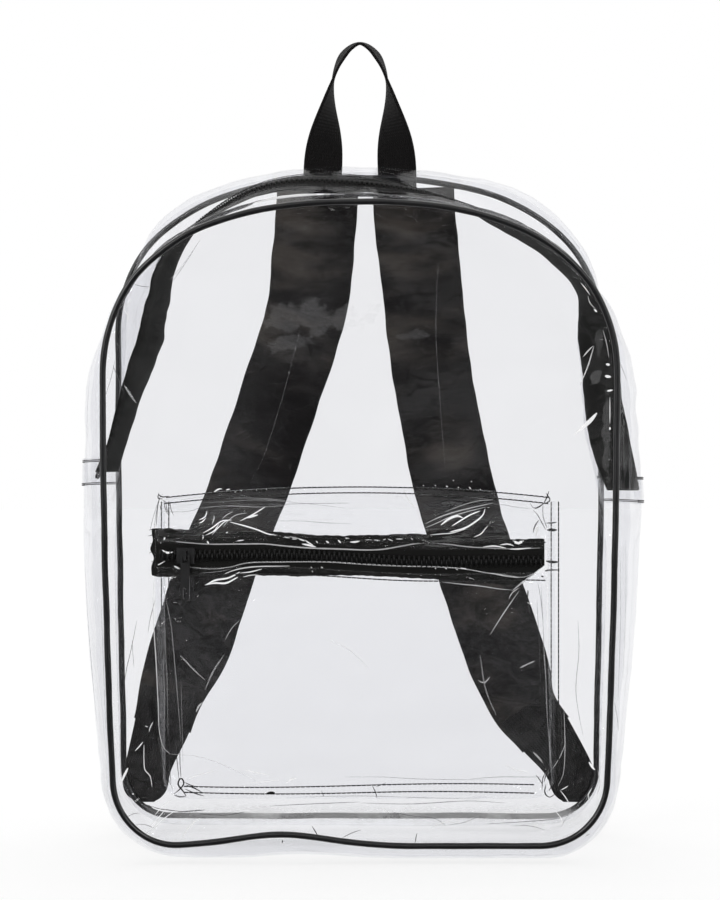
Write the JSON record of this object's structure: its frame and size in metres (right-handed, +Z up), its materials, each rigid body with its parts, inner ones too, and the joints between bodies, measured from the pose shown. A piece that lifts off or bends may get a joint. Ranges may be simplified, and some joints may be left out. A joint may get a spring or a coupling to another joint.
{
  "type": "clear backpack",
  "caption": "Clear vinyl backpack with black piping, a zipped main compartment, a zipped box pocket on its front, two flat shoulder straps and a webbing haul loop.",
  "frame": {"origin": "on the floor under the middle of the bag's bounding box", "axes": "+X to the bag's left-hand side as worn, which is the viewer's right when its pocket is faced; +Y from the pocket towards the shoulder straps; +Z up, towards the haul loop"},
  "size_m": [0.3586, 0.2134, 0.5337],
  "materials": {
    "clear_vinyl": "glossy clear flexible sheet",
    "piping": "glossy black edging",
    "zip_tape": "matt black woven tape",
    "zip_coil": "satin black nylon coil",
    "strap_cloth": "folded black cloth with a faint sheen",
    "webbing": "black ribbed webbing",
    "zip_hardware": "black enamel"
  },
  "bodies": {
    "bag": {"front_panel": "clear_vinyl", "back_panel": "clear_vinyl", "front_piping": "piping", "back_piping": "piping", "lower_gusset": "clear_vinyl", "front_zip_strip": "clear_vinyl", "back_zip_strip": "clear_vinyl", "main_zip_tape": "zip_tape", "main_zip_coil": "zip_coil", "right_zip_end_tab": "clear_vinyl", "left_zip_end_tab": "clear_vinyl", "main_zip_slider": "zip_hardware", "pocket_gusset": "clear_vinyl", "pocket_front": "clear_vinyl", "pocket_top": "clear_vinyl", "pocket_zip_tape": "zip_tape", "pocket_zip_coil": "zip_coil", "pocket_zip_slider": "zip_hardware", "haul_loop": "webbing", "left_strap": "strap_cloth", "left_strap_webbing": "webbing", "right_strap": "strap_cloth", "right_strap_webbing": "webbing"},
    "main_pull": {"main_zip_pull": "zip_hardware"},
    "pocket_pull": {"pocket_zip_pull": "zip_hardware"}
  },
  "joints": [
    {"name": "main_pull_hinge", "type": "hinge", "parent": "bag", "child": "main_pull", "pos_m": [-0.16194, -0.01251, 0.26356], "axis": [0.2433, 0.9666, -0.0799], "range_deg": [0, 120]},
    {"name": "pocket_pull_hinge", "type": "hinge", "parent": "bag", "child": "pocket_pull", "pos_m": [-0.10835, -0.10434, 0.19175], "axis": [-0.9983, 0.0582, 0.0025], "range_deg": [0, 150]}
  ]
}
